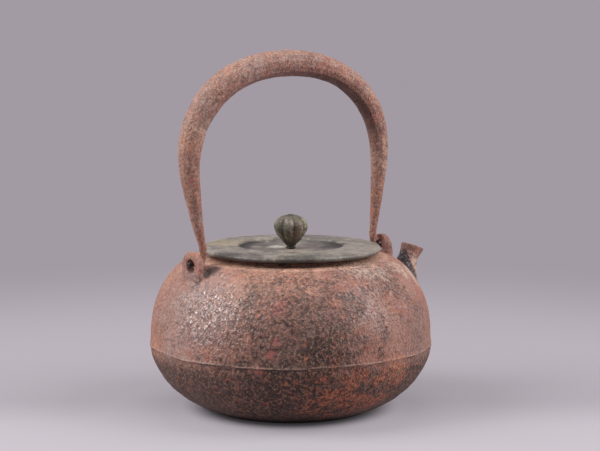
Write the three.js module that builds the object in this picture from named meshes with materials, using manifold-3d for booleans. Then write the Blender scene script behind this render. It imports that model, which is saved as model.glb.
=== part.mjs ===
// A cast-iron tea kettle: one iron casting, a bronze lid with a riveted bud knob, and a forged bow handle
// that swings in two pierced lugs. Millimetres, +Z up. The origin is the centre of the flat base, and +X
// points to the spout.

import * as THREE from 'three';
import { mergeVertices } from 'three/addons/utils/BufferGeometryUtils.js';
import Module from 'manifold-3d';

const wasm = await Module();
wasm.setup();

// Pot: the flat top lies inside the shoulder, and rises a little to the mouth ring
const bellyRadius = 82.5;
const bellyHeight = 35.6;
const baseRadius = 45.8;
const baseAngle = THREE.MathUtils.degToRad(14.9);
const baseSweep = 30.6;
const bellyEase = 4.1;
const shoulderRise = 64.8;
const shoulderPower = 2.72;
const shoulderWidth = 19.5;
const flatRise = 3.05;
const flatLead = 1.8;
const flatEndDrop = 0.37;
const wall = 3.2;
const seamHeight = 38.4;
const seamWidth = 1.6;
const seamProud = 0.6;

// Mouth ring, under the lid
const mouthRadius = 41.5;
const ringWidth = 5.7;
const ringHeight = 1.8;
const ringEase = 1.8;
const ringRounding = 0.5;

// Spout: the lip's tip and back edge stand out past the belly and below the mouth ring
const lipTipOut = 17.4;
const lipTipDrop = 6.4;
const lipBackOut = 2.5;
const lipBackDrop = 0.7;
const lipWidth = 14;
const lipTurnShare = 0.75;
const neckOut = 6.2;
const neckDrop = 10.6;
const neckDiameter = 12.4;
const footIn = 1.6;
const footDrop = 29.6;
const footDiameter = 24.6;
const rootIn = 9;
const rootDrop = 41;
const rootDiameter = 24;
const spoutWall = 2;
const boreRootDiameter = 14;

// Lugs and the holes through them
const lugWidth = 18.6;
const lugTopThickness = 4.8;
const lugHoleThickness = 5.5;
const lugHead = 7.65;
const lugRootDepth = 12;
const lugSoftening = 0.8;
const lugHoleDiameter = 7.2;
const lugHoleDrop = 1.1;

// Hooks, the solid rod ends of the handle
const hookDiameter = 3.6;
const hookInset = 3.2;
const hookClearance = 0.4;
const hookPast = 1.7;
const hookBendStart = 0.6;
const hookTipRounding = 0.9;
const lidPassRoom = 5.8;

// Bow of the handle
const bowFootRise = 9.6;
const bowFootDiameter = 5;
const widestRise = 55.2;
const crownRise = 111.2;
const bowLean = 6.4;
const bowOffset = -2;
const archPower = 2.2;
const legPower = 1.35;
const crownThickness = 16;
const rearShoulderThickness = 16.6;
const frontShoulderThickness = 14.8;
const shoulderShare = 0.7;

// Lid, measured from the level where it sits on the mouth ring
const lidOverhang = 5.6;
const lidEdgeHeight = 3.4;
const lidCrestHeight = 4;
const lidCrestWidth = 1;
const lidCrown = 0.2;
const lidFloorHeight = 1.7;
const recessRadius = 30.3;
const recessEase = 2.7;
const plateThickness = 2.6;
const flangeDepth = 5;
const flangeWidth = 2.3;
const flangePlay = 0.8;

// Knob and its rivet, measured from the floor of the lid's recess
const shankDiameter = 3.2;
const washerDiameter = 5.8;
const washerThickness = 0.8;
const burrDiameter = 11;
const rivetHeadDiameter = 7;
const rivetHeadHeight = 1.4;
const rivetInKnob = 6.2;
const knobHeight = 18.2;
const knobDiameter = 20.4;
const knobWidestHeight = 11.75;
const knobFootHeight = 0.6;
const knobFootDiameter = 6.2;
const knobCapDiameter = 5;
const knobCapHeight = 0.8;
const lobeCount = 8;
const lobeDepth = 0.14;

// Between pieces that rest on each other, and between a shaft and its hole
const gap = 0.3;

// Fineness of the round forms
const potSegments = 64;
const lidSegments = 56;
const smallSegments = 24;
const tubeSegments = 14;
const segmentsPerLobe = 6;
const lowerWallSteps = 8;
const shoulderSteps = 7;
const flatTopSteps = 4;
const spoutSteps = 12;
const lugBevelSteps = 2;
const lugArchSteps = 14;
const bowSteps = 48;
const legSteps = 8;
const archSteps = 14;
const hookBendSteps = 9;
const lidTopSteps = 5;
const lidRimSteps = 6;
const recessSteps = 4;
const domeSteps = 3;
const budLowerSteps = 8;
const budUpperSteps = 6;
const weldDistance = 1e-4;

// Solids from three.js geometry, and back

function signedVolume(corners, faces) {
  let volume = 0;
  const [a, b, c] = [new THREE.Vector3(), new THREE.Vector3(), new THREE.Vector3()];
  for (let i = 0; i < faces.length; i += 3) {
    a.fromArray(corners, faces[i] * 3);
    b.fromArray(corners, faces[i + 1] * 3);
    c.fromArray(corners, faces[i + 2] * 3);
    volume += a.dot(b.cross(c)) / 6;
  }
  return volume;
}

function solid(geometry) {
  const bare = geometry.clone();
  bare.deleteAttribute('normal');
  bare.deleteAttribute('uv');
  const merged = mergeVertices(bare, weldDistance);
  const corners = merged.attributes.position.array;
  const index = merged.index.array;
  const faces = [];
  for (let i = 0; i < index.length; i += 3) {
    const [a, b, c] = [index[i], index[i + 1], index[i + 2]];
    if (a !== b && b !== c && c !== a) faces.push(a, b, c);
  }
  if (signedVolume(corners, faces) < 0) faces.reverse();
  return new wasm.Manifold(new wasm.Mesh({
    numProp: 3,
    vertProperties: new Float32Array(corners),
    triVerts: new Uint32Array(faces),
  }));
}

function geometryOf(body) {
  const mesh = body.getMesh();
  const geometry = new THREE.BufferGeometry();
  geometry.setAttribute('position', new THREE.BufferAttribute(new Float32Array(mesh.vertProperties), 3));
  geometry.setIndex(new THREE.BufferAttribute(new Uint32Array(mesh.triVerts), 1));
  geometry.computeVertexNormals();
  return geometry;
}

// A profile of radius and height, turned about the Z axis
function turned(profile, segments) {
  const geometry = new THREE.LatheGeometry(profile, segments);
  geometry.rotateX(Math.PI / 2);
  return solid(geometry);
}

// A skin over rings of points, with both ends closed
function lofted(rings) {
  const count = rings[0].length;
  const positions = rings.flat().flatMap((point) => point.toArray());
  const faces = [];
  for (let ring = 0; ring + 1 < rings.length; ring++) {
    for (let side = 0; side < count; side++) {
      const next = (side + 1) % count;
      const [low, high] = [ring * count, (ring + 1) * count];
      faces.push(low + side, low + next, high + next);
      faces.push(low + side, high + next, high + side);
    }
  }
  for (const [start, first] of [[rings[0], 0], [rings.at(-1), (rings.length - 1) * count]]) {
    const centre = start.reduce((sum, point) => sum.add(point), new THREE.Vector3()).divideScalar(count);
    const middle = positions.length / 3;
    positions.push(...centre.toArray());
    for (let side = 0; side < count; side++) {
      const next = (side + 1) % count;
      const [a, b] = first === 0 ? [next, side] : [side, next];
      faces.push(middle, first + a, first + b);
    }
  }
  const geometry = new THREE.BufferGeometry();
  geometry.setAttribute('position', new THREE.Float32BufferAttribute(positions, 3));
  geometry.setIndex(faces);
  return solid(geometry);
}

// An oval ring in the plane square to a direction that lies in the XZ plane
function ovalRing(centre, direction, halfLength, halfWidth, segments) {
  const across = new THREE.Vector3(0, 1, 0);
  const along = new THREE.Vector3().crossVectors(across, direction).normalize();
  return Array.from({ length: segments }, (_, side) => {
    const angle = (side / segments) * 2 * Math.PI;
    return centre.clone()
      .addScaledVector(along, halfLength * Math.cos(angle))
      .addScaledVector(across, halfWidth * Math.sin(angle));
  });
}

// A round bar along points in the XZ plane, with a radius at each point
function bar(points, radii) {
  const rings = points.map((point, i) => {
    const before = points[Math.max(i - 1, 0)];
    const after = points[Math.min(i + 1, points.length - 1)];
    const direction = after.clone().sub(before).normalize();
    return ovalRing(point, direction, radii[i], radii[i], tubeSegments);
  });
  return lofted(rings);
}

// Radius and height along a quarter of an oval, from its edge up to near its pole
function dome(radius, height) {
  return Array.from({ length: domeSteps }, (_, i) => {
    const angle = (i / domeSteps) * Math.PI / 2;
    return new THREE.Vector2(radius * Math.cos(angle), height * Math.sin(angle));
  });
}

function smoothstep(share) {
  const held = Math.min(Math.max(share, 0), 1);
  return held * held * (3 - 2 * held);
}

// Outline of the pot, from the base's edge up to the mouth ring's foot

function shoulderHeightAt(radius) {
  const share = 1 - (radius / bellyRadius) ** shoulderPower;
  return bellyHeight + shoulderRise * share ** (1 / shoulderPower);
}

const flatRadius = bellyRadius - shoulderWidth;
const flatHeight = shoulderHeightAt(flatRadius);
const ringRadius = mouthRadius + ringWidth;
const ringFootHeight = flatHeight + flatRise;
const ringTop = ringFootHeight + ringHeight;

function lowerWall() {
  const curve = new THREE.CubicBezierCurve(
    new THREE.Vector2(baseRadius, 0),
    new THREE.Vector2(baseRadius + baseSweep * Math.cos(baseAngle), baseSweep * Math.sin(baseAngle)),
    new THREE.Vector2(bellyRadius, bellyHeight - bellyEase),
    new THREE.Vector2(bellyRadius, bellyHeight),
  );
  return curve.getPoints(lowerWallSteps);
}

function shoulderWall() {
  const lastAngle = Math.acos((flatRadius / bellyRadius) ** (shoulderPower / 2));
  const firstHeight = seamHeight + seamWidth;
  const firstAngle = Math.asin(((firstHeight - bellyHeight) / shoulderRise) ** (shoulderPower / 2));
  return Array.from({ length: shoulderSteps + 1 }, (_, i) => {
    const angle = firstAngle + (lastAngle - firstAngle) * (i / shoulderSteps);
    return new THREE.Vector2(
      bellyRadius * Math.cos(angle) ** (2 / shoulderPower),
      bellyHeight + shoulderRise * Math.sin(angle) ** (2 / shoulderPower),
    );
  });
}

// The shoulder's slope carries on for a short lead, then levels out at the ring's foot
function flatTop() {
  const end = ringRadius + ringEase;
  const slope = (shoulderHeightAt(flatRadius - flatLead) - flatHeight) / flatLead;
  const curve = new THREE.CubicBezierCurve(
    new THREE.Vector2(flatRadius, flatHeight),
    new THREE.Vector2(flatRadius - flatLead, flatHeight + flatLead * slope),
    new THREE.Vector2((flatRadius + end) / 2, ringFootHeight - flatEndDrop),
    new THREE.Vector2(end, ringFootHeight),
  );
  return curve.getPoints(flatTopSteps).slice(1);
}

const potOutline = [...lowerWall(), ...shoulderWall(), ...flatTop()];

// Height of the pot's upper surface at a radius, read from its outline
function topHeightAt(radius) {
  for (let i = potOutline.length - 1; i > 0; i--) {
    const [outer, inner] = [potOutline[i - 1], potOutline[i]];
    if (radius >= inner.x && radius <= outer.x) {
      const share = (radius - inner.x) / (outer.x - inner.x);
      return inner.y + share * (outer.y - inner.y);
    }
  }
  return ringFootHeight;
}

function potSolid() {
  const profile = [
    new THREE.Vector2(0, 0),
    ...lowerWall(),
    new THREE.Vector2(bellyRadius, seamHeight - seamWidth),
    new THREE.Vector2(bellyRadius + seamProud, seamHeight),
    ...shoulderWall(),
    ...flatTop(),
    new THREE.Vector2(ringRadius, ringFootHeight + ringRounding),
    new THREE.Vector2(ringRadius, ringTop - ringRounding),
    new THREE.Vector2(ringRadius - ringRounding, ringTop),
    new THREE.Vector2(0, ringTop),
  ];
  return turned(profile, potSegments);
}

// The hollow inside: the outline moved in by the wall, and the open mouth
function hollowSolid() {
  const coarse = potOutline.filter((_, i) => i % 2 === 0);
  const inside = coarse.map((point, i) => {
    const before = coarse[Math.max(i - 1, 0)];
    const after = coarse[Math.min(i + 1, coarse.length - 1)];
    const along = after.clone().sub(before).normalize();
    return new THREE.Vector2(point.x - along.y * wall, point.y + along.x * wall);
  });
  const roof = inside.filter((point) => point.x > mouthRadius);
  const profile = [
    new THREE.Vector2(0, wall),
    ...roof,
    new THREE.Vector2(mouthRadius, roof.at(-1).y),
    new THREE.Vector2(mouthRadius, ringTop + wall),
    new THREE.Vector2(0, ringTop + wall),
  ];
  return turned(profile, potSegments);
}

// Spout: an oval tube that rises from the side, leans out and flares to its lip

const lipTip = new THREE.Vector3(bellyRadius + lipTipOut, 0, ringTop - lipTipDrop);
const lipBack = new THREE.Vector3(bellyRadius + lipBackOut, 0, ringTop - lipBackDrop);
const lipCentre = lipTip.clone().add(lipBack).divideScalar(2);
const lipLength = lipTip.distanceTo(lipBack);
const lipNormal = new THREE.Vector3(lipBack.z - lipTip.z, 0, lipTip.x - lipBack.x).normalize();
const neckCentre = new THREE.Vector3(bellyRadius + neckOut, 0, ringTop - neckDrop);
const footCentre = new THREE.Vector3(bellyRadius - footIn, 0, ringTop - footDrop);
const rootCentre = new THREE.Vector3(bellyRadius - rootIn, 0, ringTop - rootDrop);

// A tube through the spout's stations, thinner than it by a wall, and longer past the lip
function spoutTube(rootHalf, thinner, past) {
  const end = lipCentre.clone().addScaledVector(lipNormal, past);
  const line = new THREE.CatmullRomCurve3([rootCentre, footCentre, neckCentre, end]);
  const lengths = [footDiameter, neckDiameter, lipLength];
  const widths = [footDiameter, neckDiameter, lipWidth];
  const halfLengths = [rootHalf, ...lengths.map((size) => size / 2 - thinner)];
  const halfWidths = [rootHalf, ...widths.map((size) => size / 2 - thinner)];
  const rings = [];
  for (let i = 0; i <= spoutSteps; i++) {
    const share = i / spoutSteps;
    const place = share * (halfLengths.length - 1);
    const station = Math.min(Math.floor(place), halfLengths.length - 2);
    const blend = smoothstep(place - station);
    const halfLength = THREE.MathUtils.lerp(halfLengths[station], halfLengths[station + 1], blend);
    const halfWidth = THREE.MathUtils.lerp(halfWidths[station], halfWidths[station + 1], blend);
    const tilt = smoothstep((share - lipTurnShare) / (1 - lipTurnShare));
    const direction = line.getTangent(share).lerp(lipNormal, tilt).normalize();
    rings.push(ovalRing(line.getPoint(share), direction, halfLength, halfWidth, smallSegments));
  }
  return lofted(rings);
}

function spoutSolid() {
  return spoutTube(rootDiameter / 2, 0, 0);
}

function spoutBore() {
  return spoutTube(boreRootDiameter / 2, spoutWall, spoutWall);
}

// Lugs: upright arched tabs, thicker at the root, each with a hole for a hook that keeps clear of the lid

const lidRadius = ringRadius + lidOverhang;
const hookReach = lidRadius + lidPassRoom + bowFootDiameter / 2;
const lugInnerFace = hookReach + hookInset;
const lugOuterFace = lugInnerFace + lugHoleThickness;
const hingeHeight = topHeightAt(hookReach) + hookDiameter / 2 + hookClearance;
const lugTop = hingeHeight + lugHead;

function lugThicknessAt(height) {
  const perHeight = (lugHoleThickness - lugTopThickness) / lugHead;
  return lugTopThickness + (lugTop - height) * perHeight;
}

function lugHole() {
  const length = lugHoleThickness * 3;
  const hole = new THREE.CylinderGeometry(lugHoleDiameter / 2, lugHoleDiameter / 2, length, smallSegments);
  hole.rotateZ(Math.PI / 2);
  hole.translate(lugOuterFace - lugHoleThickness / 2, 0, hingeHeight - lugHoleDrop);
  return solid(hole);
}

function lugSolid() {
  const half = lugWidth / 2 - lugSoftening;
  const low = topHeightAt(lugOuterFace) - lugRootDepth;
  const springing = lugTop - lugWidth / 2;
  const softShare = lugSoftening / lugHoleThickness;
  const arch = new THREE.Shape();
  arch.moveTo(-half, low);
  arch.lineTo(half, low);
  arch.lineTo(half, springing);
  arch.absarc(0, springing, half, 0, Math.PI, false);
  arch.closePath();
  const geometry = new THREE.ExtrudeGeometry(arch, {
    depth: 1 - 2 * softShare,
    bevelThickness: softShare,
    bevelSize: lugSoftening,
    bevelSegments: lugBevelSteps,
    curveSegments: lugArchSteps,
  });
  geometry.translate(0, 0, softShare);
  const toUpright = new THREE.Matrix4().makeBasis(
    new THREE.Vector3(0, 1, 0),
    new THREE.Vector3(0, 0, 1),
    new THREE.Vector3(1, 0, 0),
  );
  geometry.applyMatrix4(toUpright);
  const points = geometry.attributes.position;
  for (let i = 0; i < points.count; i++) {
    const thickness = lugThicknessAt(points.getZ(i));
    points.setX(i, lugOuterFace - (1 - points.getX(i)) * thickness);
  }
  return solid(geometry).subtract(lugHole());
}

function kettleBody() {
  const lug = lugSolid();
  const shell = potSolid().add(spoutSolid()).add(lug).add(lug.rotate([0, 0, 180]));
  return geometryOf(shell.subtract(hollowSolid()).subtract(spoutBore()));
}

// Handle, measured from the hinge axis

const bowReach = hookReach + bowLean;

// The centreline of half the bow, from its foot to the crown: a leg that leans out, then a quarter arch
function bowHalf(side) {
  const foot = side * hookReach;
  const widest = bowOffset + side * bowReach;
  const points = [];
  for (let i = 0; i < legSteps; i++) {
    const share = i / legSteps;
    const lean = (1 - share) ** legPower;
    points.push(new THREE.Vector3(
      widest + (foot - widest) * lean,
      0,
      bowFootRise + (widestRise - bowFootRise) * share,
    ));
  }
  for (let i = 0; i <= archSteps; i++) {
    const angle = (i / archSteps) * Math.PI / 2;
    points.push(new THREE.Vector3(
      bowOffset + side * bowReach * Math.max(Math.cos(angle), 0) ** (2 / archPower),
      0,
      widestRise + (crownRise - widestRise) * Math.sin(angle) ** (2 / archPower),
    ));
  }
  return points;
}

// Radius of the bow at a share of the way from a foot to the crown
function bowRadius(share, shoulderThickness) {
  const foot = bowFootDiameter / 2;
  const shoulder = shoulderThickness / 2;
  if (share < shoulderShare) {
    return foot + (shoulder - foot) * Math.sin((share / shoulderShare) * Math.PI / 2);
  }
  const blend = smoothstep((share - shoulderShare) / (1 - shoulderShare));
  return shoulder + (crownThickness / 2 - shoulder) * blend;
}

function handleBow() {
  const rear = bowHalf(-1);
  const front = bowHalf(1).reverse().slice(1);
  const line = new THREE.CatmullRomCurve3([...rear, ...front], false, 'centripetal');
  const points = line.getSpacedPoints(bowSteps);
  const radii = points.map((_, i) => {
    const share = i / bowSteps;
    return share <= 0.5
      ? bowRadius(share * 2, rearShoulderThickness)
      : bowRadius((1 - share) * 2, frontShoulderThickness);
  });
  return geometryOf(bar(points, radii));
}

// A rod that goes on from the bow's foot, bends and passes out through its lug
function hook(side) {
  const [foot, above] = bowHalf(side);
  const slope = (above.x - foot.x) / (above.z - foot.z);
  const top = new THREE.Vector3(foot.x - slope * gap, 0, foot.z - gap);
  const corner = new THREE.Vector3(foot.x - slope * foot.z, 0, 0);
  const level = new THREE.Vector3(side * (lugInnerFace + hookBendStart), 0, 0);
  const bend = new THREE.QuadraticBezierCurve3(top, corner, level).getPoints(hookBendSteps);
  const tip = side * (lugOuterFace + hookPast);
  const shoulder = new THREE.Vector3(tip - side * hookTipRounding, 0, 0);
  const end = new THREE.Vector3(tip, 0, 0);
  const points = [...bend, shoulder, end];
  const thin = hookDiameter / 2;
  const thick = bowFootDiameter / 2;
  const radii = bend.map((_, i) => thick + (thin - thick) * smoothstep(i / hookBendSteps));
  radii.push(thin, thin - hookTipRounding);
  return geometryOf(bar(points, radii));
}

// Lid, measured from its seat on the mouth ring

const shankHole = shankDiameter / 2 + gap;

// From the recess's floor up its rounded wall to the crest
function lidRecess() {
  return new THREE.CubicBezierCurve(
    new THREE.Vector2(recessRadius - recessEase, lidFloorHeight),
    new THREE.Vector2(recessRadius, lidFloorHeight),
    new THREE.Vector2(recessRadius, lidCrestHeight),
    new THREE.Vector2(recessRadius + lidCrestWidth, lidCrestHeight),
  ).getPoints(recessSteps);
}

// From the crest, gently crowned, out to the start of the round edge
function lidTop() {
  const crest = recessRadius + lidCrestWidth;
  return new THREE.QuadraticBezierCurve(
    new THREE.Vector2(crest, lidCrestHeight),
    new THREE.Vector2((crest + lidRadius) / 2, lidCrestHeight - lidCrown),
    new THREE.Vector2(lidRadius - lidEdgeHeight, lidEdgeHeight),
  ).getPoints(lidTopSteps).slice(1);
}

function lidRim() {
  const half = lidEdgeHeight / 2;
  return Array.from({ length: lidRimSteps }, (_, i) => {
    const angle = Math.PI / 2 - ((i + 1) / lidRimSteps) * Math.PI;
    return new THREE.Vector2(lidRadius - half + half * Math.cos(angle), half + half * Math.sin(angle));
  });
}

function lidPlate() {
  const flangeOuter = mouthRadius - flangePlay;
  const flangeInner = flangeOuter - flangeWidth;
  const plateUnder = lidFloorHeight - plateThickness;
  const profile = [
    new THREE.Vector2(shankHole, lidFloorHeight),
    ...lidRecess(),
    ...lidTop(),
    ...lidRim(),
    new THREE.Vector2(flangeOuter, 0),
    new THREE.Vector2(flangeOuter, -flangeDepth),
    new THREE.Vector2(flangeInner, -flangeDepth),
    new THREE.Vector2(flangeInner, plateUnder),
    new THREE.Vector2(shankHole, plateUnder),
    new THREE.Vector2(shankHole, lidFloorHeight),
  ];
  return geometryOf(turned(profile, lidSegments));
}

// Knob and rivet, measured from the floor of the lid's recess

const knobBottom = washerThickness + 2 * gap;
const burrTop = -plateThickness - gap;
const burrBottom = burrTop - washerThickness;
const headTop = burrBottom - gap;

function flatRing(outerDiameter, bottom, top) {
  const profile = [
    new THREE.Vector2(shankHole, bottom),
    new THREE.Vector2(outerDiameter / 2, bottom),
    new THREE.Vector2(outerDiameter / 2, top),
    new THREE.Vector2(shankHole, top),
    new THREE.Vector2(shankHole, bottom),
  ];
  return geometryOf(turned(profile, smallSegments));
}

function knobRivet() {
  const shank = shankDiameter / 2;
  const head = dome(rivetHeadDiameter / 2, rivetHeadHeight).reverse();
  const profile = [
    new THREE.Vector2(0, headTop - rivetHeadHeight),
    ...head.map((point) => new THREE.Vector2(point.x, headTop - point.y)),
    new THREE.Vector2(shank, headTop),
    new THREE.Vector2(shank, knobBottom + rivetInKnob),
    new THREE.Vector2(0, knobBottom + rivetInKnob),
  ];
  return geometryOf(turned(profile, smallSegments));
}

// The bud's outline, radius and height: it swells from the foot to its widest, then rounds in to the cap
function budOutline() {
  const [foot, widest, cap] = [knobFootDiameter / 2, knobDiameter / 2, knobCapDiameter / 2];
  const lower = Array.from({ length: budLowerSteps }, (_, i) => {
    const share = i / budLowerSteps;
    return new THREE.Vector2(
      foot + (widest - foot) * Math.sin(share * Math.PI / 2),
      knobFootHeight + (knobWidestHeight - knobFootHeight) * share,
    );
  });
  const upper = Array.from({ length: budUpperSteps + 1 }, (_, i) => {
    const angle = (i / budUpperSteps) * Math.PI / 2;
    return new THREE.Vector2(
      cap + (widest - cap) * Math.cos(angle),
      knobWidestHeight + (knobHeight - knobWidestHeight) * Math.sin(angle),
    );
  });
  return [new THREE.Vector2(foot, 0), ...lower, ...upper];
}

// A bud of rounded lobes on a narrow foot, with a plain cap
function knobBud() {
  const segments = lobeCount * segmentsPerLobe;
  const ring = (radius, height, depth) => Array.from({ length: segments }, (_, side) => {
    const angle = (side / segments) * 2 * Math.PI;
    const groove = 1 - Math.abs(Math.cos(angle * lobeCount / 2));
    const reach = radius * (1 - depth * groove);
    return new THREE.Vector3(reach * Math.cos(angle), reach * Math.sin(angle), knobBottom + height);
  });
  const cap = knobCapDiameter / 2;
  const bud = budOutline().map(({ x, y }) => {
    const swell = (x - cap) / (knobDiameter / 2 - cap);
    return ring(x, y, lobeDepth * smoothstep(swell * 2));
  });
  const top = dome(cap, knobCapHeight).slice(1);
  const rings = [...bud, ...top.map(({ x, y }) => ring(x, knobHeight + y, 0))];
  const depth = rivetInKnob + gap;
  const socket = new THREE.CylinderGeometry(shankHole, shankHole, depth * 2, smallSegments);
  socket.rotateX(Math.PI / 2);
  socket.translate(0, 0, knobBottom);
  return geometryOf(lofted(rings).subtract(solid(socket)));
}

// Finishes
const castIron = new THREE.MeshStandardMaterial({ color: 0x5a3f38, roughness: 0.85, metalness: 0.35 });
const forgedIron = new THREE.MeshStandardMaterial({ color: 0x7a5a50, roughness: 0.8, metalness: 0.35 });
const lidBronze = new THREE.MeshStandardMaterial({ color: 0x6f6f60, roughness: 0.5, metalness: 0.8 });
const knobBronze = new THREE.MeshStandardMaterial({ color: 0x6a5a3c, roughness: 0.45, metalness: 0.8 });

function piece(name, geometry, material) {
  const mesh = new THREE.Mesh(geometry, material);
  mesh.name = name;
  return mesh;
}

const kettle = new THREE.Group();
kettle.add(piece('kettle_body', kettleBody(), castIron));

const handle = new THREE.Group();
handle.position.z = hingeHeight;
handle.add(piece('handle_bow', handleBow(), forgedIron));
handle.add(piece('hook_rear', hook(-1), forgedIron));
handle.add(piece('hook_front', hook(1), forgedIron));
kettle.add(handle);

const lid = new THREE.Group();
lid.position.z = ringTop + gap;
lid.add(piece('lid_plate', lidPlate(), lidBronze));
kettle.add(lid);

const knob = new THREE.Group();
knob.position.z = lidFloorHeight;
knob.add(piece('knob', knobBud(), knobBronze));
knob.add(piece('knob_washer', flatRing(washerDiameter, gap, gap + washerThickness), knobBronze));
knob.add(piece('knob_rivet', knobRivet(), knobBronze));
knob.add(piece('rivet_washer', flatRing(burrDiameter, burrBottom, burrTop), lidBronze));
lid.add(knob);

export default kettle;
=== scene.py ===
"""A rusted cast-iron tea kettle with a bronze lid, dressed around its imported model.

Metres, +Z up, +X towards the spout. The model's own nodes keep their places. Each is resurfaced here with
a finer skin, and gets its finish from procedural materials. The handle's bow and hooks are forged in one
piece, so one joined piece stands for the three nodes.
"""
import math

import bpy
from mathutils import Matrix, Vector


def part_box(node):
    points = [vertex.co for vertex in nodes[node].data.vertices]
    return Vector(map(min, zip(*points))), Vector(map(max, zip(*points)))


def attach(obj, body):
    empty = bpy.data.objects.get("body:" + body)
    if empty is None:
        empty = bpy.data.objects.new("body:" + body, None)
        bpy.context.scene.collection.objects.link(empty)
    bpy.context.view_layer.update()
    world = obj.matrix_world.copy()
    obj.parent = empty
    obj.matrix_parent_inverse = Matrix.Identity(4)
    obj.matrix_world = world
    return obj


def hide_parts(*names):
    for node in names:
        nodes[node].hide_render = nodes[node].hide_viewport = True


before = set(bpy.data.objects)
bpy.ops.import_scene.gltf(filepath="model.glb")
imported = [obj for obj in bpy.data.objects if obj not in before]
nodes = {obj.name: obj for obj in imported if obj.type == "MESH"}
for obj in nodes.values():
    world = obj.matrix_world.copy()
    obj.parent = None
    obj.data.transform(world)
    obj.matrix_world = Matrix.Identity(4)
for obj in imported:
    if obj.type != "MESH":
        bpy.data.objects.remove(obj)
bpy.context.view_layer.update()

MM = 0.001

# Camera: the photograph's viewing angle
VIEW_AZIMUTH = math.radians(36)
SIDEWAYS = (math.cos(VIEW_AZIMUTH), -math.sin(VIEW_AZIMUTH), 0)
AWAY = (math.sin(VIEW_AZIMUTH), math.cos(VIEW_AZIMUTH), 0)
CAMERA_SIDE = 5.39 * MM
CAMERA_BACK = 1000 * MM
CAMERA_HEIGHT = 232.5 * MM
CAMERA_PITCH = math.radians(7.17)
CAMERA_LENS = 103.9
CAMERA_CLIP = 0.01
SENSOR_WIDTH = 36

# Light: two softboxes beside the kettle, a weaker one above, and a dim room
SOFTBOX_REACH = 1.2
SOFTBOX_SIZE = 0.8
LEFT_TURN = math.radians(77)
LEFT_RISE = math.radians(40)
LEFT_POWER = 18.5
RIGHT_TURN = math.radians(82)
RIGHT_RISE = math.radians(36)
RIGHT_POWER = 15.0
TOP_BACK = 0.25
TOP_HEIGHT = 1.35
TOP_SIZE = 0.9
TOP_POWER = 6.0
ROOM_COLOUR = (0.30, 0.27, 0.30, 1)
ROOM_STRENGTH = 0.62

# Backdrop paper: painted light in front of the kettle, and one plain colour further away
PAPER_COLOUR = (0.386, 0.355, 0.386, 1)
PAPER_ROUGHNESS = 0.9
PAPER_SPECULAR = 0.1
PAPER_RADIUS = 1.6
PAPER_CORNERS = 96
BACKDROP_COLOUR = (0.366, 0.326, 0.366, 1)
PAINTED_FRONT_LIGHT = (0.57, 0.525, 0.57, 1)

# Distances over which the looks change, from the first to the second. The backdrop brightens in front, as
# painted light, and dims again far out. The paper fades into it, half way even near the kettle, which lifts
# its shadow as painted light, but close to the base it stays paper, with the shadow.
FRONT_EDGE = (0.02, -0.06)
POOL_EDGE = (0.85, 0.38)
FADE_EDGE = (0.25, 0.62)
FADE_SHARES = (0.5, 1.0)
CONTACT_EDGE = (0.048, 0.064)
CONTACT_SHARES = (0.1, 1.0)

# Sizes read from the frame, and the seam's height
POT_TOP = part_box("kettle_body")[1].z
LID_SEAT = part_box("lid_plate")[1].z - 4 * MM
HOOKS = {-1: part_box("hook_rear"), 1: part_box("hook_front")}
SEAM_HEIGHT = 38.9 * MM


# Small helpers for node trees

def feed(tree, socket, value):
    """Sets a socket to a value, or links it."""
    if isinstance(value, bpy.types.NodeSocket):
        tree.links.new(value, socket)
    else:
        socket.default_value = value


def put(tree, kind, inputs=None, **settings):
    """A node of that kind, with its settings, and its inputs as values or links."""
    made = tree.nodes.new(kind)
    for name, value in settings.items():
        setattr(made, name, value)
    for name, value in (inputs or {}).items():
        feed(tree, made.inputs[name], value)
    return made


def maths(tree, operation, a, b=0.0):
    """The result of one sum on two values or links."""
    return put(tree, "ShaderNodeMath", {0: a, 1: b}, operation=operation).outputs[0]


def vector_maths(tree, operation, a, b):
    """The node for one sum on two vectors."""
    return put(tree, "ShaderNodeVectorMath", {0: a, 1: b}, operation=operation)


def scaled(tree, vector, amount):
    """A vector made longer or shorter."""
    return put(tree, "ShaderNodeVectorMath", {0: vector, "Scale": amount}, operation="SCALE").outputs[0]


def spread(tree, value, low, high, to_low=0.0, to_high=1.0):
    """A value taken smoothly from one range to another, and held inside it."""
    made = put(
        tree,
        "ShaderNodeMapRange",
        {"Value": value, "From Min": low, "From Max": high, "To Min": to_low, "To Max": to_high},
        interpolation_type="SMOOTHSTEP",
    )
    return made.outputs["Result"]


def between(tree, length, start, end):
    """A mask that grows from none to full between two lengths in millimetres."""
    return spread(tree, length, start * MM, end * MM)


def ranged(tree, mask, at_none, at_full):
    """A mask taken to values of its own."""
    return spread(tree, mask, 0.0, 1.0, at_none, at_full)


def weaker(tree, mask, share):
    """A value or mask made smaller, by a number or another mask."""
    return maths(tree, "MULTIPLY", mask, share)


def overlap(tree, *masks):
    """Where several masks meet."""
    result = masks[0]
    for mask in masks[1:]:
        result = maths(tree, "MULTIPLY", result, mask)
    return result


def either(tree, *masks):
    """The stronger of several masks."""
    result = masks[0]
    for mask in masks[1:]:
        result = maths(tree, "MAXIMUM", result, mask)
    return result


def blend(tree, mask, under, over):
    """Two colours mixed by a mask."""
    return put(tree, "ShaderNodeMix", {0: mask, 6: under, 7: over}, data_type="RGBA").outputs[2]


def lay(tree, colour, top, mask, strength=1.0):
    """A colour with another laid over it where a mask is, at a strength."""
    return blend(tree, weaker(tree, mask, strength), colour, top)


def mixed(tree, mask, under, over):
    """Two values mixed by a mask."""
    return put(tree, "ShaderNodeMix", {0: mask, 2: under, 3: over}, data_type="FLOAT").outputs[0]


def along(tree, position, direction):
    """How far a point lies along a direction."""
    return vector_maths(tree, "DOT_PRODUCT", position, direction).outputs["Value"]


def axes_of(tree, position):
    """A point's X, Y and Z."""
    return put(tree, "ShaderNodeSeparateXYZ", {0: position}).outputs


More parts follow.
